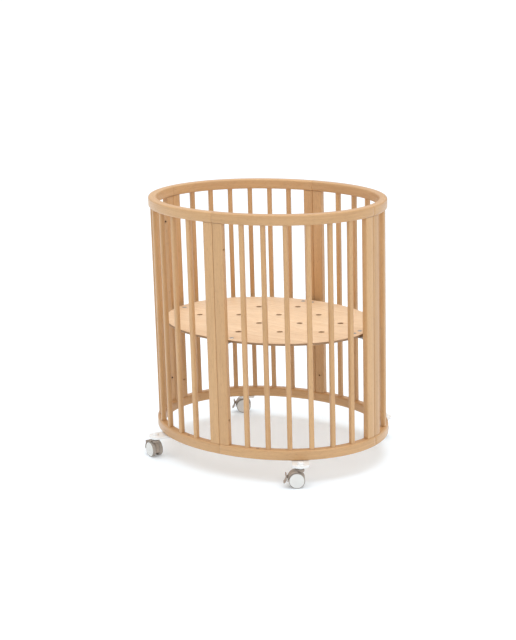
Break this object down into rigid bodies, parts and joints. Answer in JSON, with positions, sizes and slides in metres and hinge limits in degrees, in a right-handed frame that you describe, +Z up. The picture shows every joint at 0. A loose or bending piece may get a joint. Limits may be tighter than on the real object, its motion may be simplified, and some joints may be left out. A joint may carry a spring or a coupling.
{
  "type": "baby crib",
  "caption": "Oval slatted wooden baby crib with a perforated height-adjustable mattress base and braked twin-wheel swivel casters.",
  "frame": {"origin": "on the floor under the middle of the oval", "axes": "+Z up; X along the oval's long way; -Y is the front; +X is the right end"},
  "size_m": [0.825, 0.6544, 0.87],
  "materials": {
    "beech": "satin clear lacquer",
    "plywood": "satin clear lacquer",
    "white_plastic": "matte",
    "taupe_plastic": "satin",
    "wheel_plastic": "satin"
  },
  "bodies": {
    "frame": {"top_rail_back_right": "beech", "bottom_rail_back_right": "beech", "post_back_right_first": "beech", "post_back_right_last": "beech", "slat_back_right_1": "beech", "slat_back_right_2": "beech", "slat_back_right_3": "beech", "slat_back_right_4": "beech", "slat_back_right_5": "beech", "slat_back_right_6": "beech", "top_rail_back_left": "beech", "bottom_rail_back_left": "beech", "post_back_left_first": "beech", "post_back_left_last": "beech", "slat_back_left_1": "beech", "slat_back_left_2": "beech", "slat_back_left_3": "beech", "slat_back_left_4": "beech", "slat_back_left_5": "beech", "slat_back_left_6": "beech", "top_rail_front_left": "beech", "bottom_rail_front_left": "beech", "post_front_left_first": "beech", "post_front_left_last": "beech", "slat_front_left_1": "beech", "slat_front_left_2": "beech", "slat_front_left_3": "beech", "slat_front_left_4": "beech", "slat_front_left_5": "beech", "slat_front_left_6": "beech", "top_rail_front_right": "beech", "bottom_rail_front_right": "beech", "post_front_right_first": "beech", "post_front_right_last": "beech", "slat_front_right_1": "beech", "slat_front_right_2": "beech", "slat_front_right_3": "beech", "slat_front_right_4": "beech", "slat_front_right_5": "beech", "slat_front_right_6": "beech", "caster_mount_back_right": "white_plastic", "caster_mount_back_left": "white_plastic", "caster_mount_front_left": "white_plastic", "caster_mount_front_right": "white_plastic"},
    "mattress_base": {"mattress_base": "plywood"},
    "swivel_back_right": {"caster_body_back_right": "taupe_plastic"},
    "wheels_back_right": {"caster_wheels_back_right": "wheel_plastic"},
    "pedal_back_right": {"brake_pedal_back_right": "taupe_plastic"},
    "swivel_back_left": {"caster_body_back_left": "taupe_plastic"},
    "wheels_back_left": {"caster_wheels_back_left": "wheel_plastic"},
    "pedal_back_left": {"brake_pedal_back_left": "taupe_plastic"},
    "swivel_front_left": {"caster_body_front_left": "taupe_plastic"},
    "wheels_front_left": {"caster_wheels_front_left": "wheel_plastic"},
    "pedal_front_left": {"brake_pedal_front_left": "taupe_plastic"},
    "swivel_front_right": {"caster_body_front_right": "taupe_plastic"},
    "wheels_front_right": {"caster_wheels_front_right": "wheel_plastic"},
    "pedal_front_right": {"brake_pedal_front_right": "taupe_plastic"}
  },
  "joints": [
    {"name": "base_height", "type": "slide", "parent": "frame", "child": "mattress_base", "axis": [0, 0, 1], "range_m": [-0.255, 0]},
    {"name": "swivel_back_right", "type": "hinge", "parent": "frame", "child": "swivel_back_right", "pos_m": [0.28665, 0.27668, 0.0595], "axis": [0, 0, 1], "continuous": true},
    {"name": "wheel_spin_back_right", "type": "hinge", "parent": "swivel_back_right", "child": "wheels_back_right", "pos_m": [0.27487, 0.27119, 0.026], "axis": [0.4226, -0.9063, 0], "continuous": true},
    {"name": "brake_back_right", "type": "hinge", "parent": "swivel_back_right", "child": "pedal_back_right", "pos_m": [0.26037, 0.26443, 0.037], "axis": [0.4226, -0.9063, 0], "range_deg": [0, 8]},
    {"name": "swivel_back_left", "type": "hinge", "parent": "frame", "child": "swivel_back_left", "pos_m": [-0.28665, 0.27668, 0.0595], "axis": [0, 0, 1], "continuous": true},
    {"name": "wheel_spin_back_left", "type": "hinge", "parent": "swivel_back_left", "child": "wheels_back_left", "pos_m": [-0.29755, 0.2696, 0.026], "axis": [0.5446, -0.8387, 0], "continuous": true},
    {"name": "brake_back_left", "type": "hinge", "parent": "swivel_back_left", "child": "pedal_back_left", "pos_m": [-0.31097, 0.26089, 0.037], "axis": [0.5446, -0.8387, 0], "range_deg": [0, 8]},
    {"name": "swivel_front_left", "type": "hinge", "parent": "frame", "child": "swivel_front_left", "pos_m": [-0.28665, -0.27668, 0.0595], "axis": [0, 0, 1], "continuous": true},
    {"name": "wheel_spin_front_left", "type": "hinge", "parent": "swivel_front_left", "child": "wheels_front_left", "pos_m": [-0.29853, -0.27139, 0.026], "axis": [-0.4067, -0.9135, 0], "continuous": true},
    {"name": "brake_front_left", "type": "hinge", "parent": "swivel_front_left", "child": "pedal_front_left", "pos_m": [-0.31314, -0.26489, 0.037], "axis": [-0.4067, -0.9135, 0], "range_deg": [0, 8]},
    {"name": "swivel_front_right", "type": "hinge", "parent": "frame", "child": "swivel_front_right", "pos_m": [0.28665, -0.27668, 0.0595], "axis": [0, 0, 1], "continuous": true},
    {"name": "wheel_spin_front_right", "type": "hinge", "parent": "swivel_front_right", "child": "wheels_front_right", "pos_m": [0.27575, -0.28376, 0.026], "axis": [0.5446, -0.8387, 0], "continuous": true},
    {"name": "brake_front_right", "type": "hinge", "parent": "swivel_front_right", "child": "pedal_front_right", "pos_m": [0.26233, -0.29248, 0.037], "axis": [0.5446, -0.8387, 0], "range_deg": [0, 8]}
  ]
}
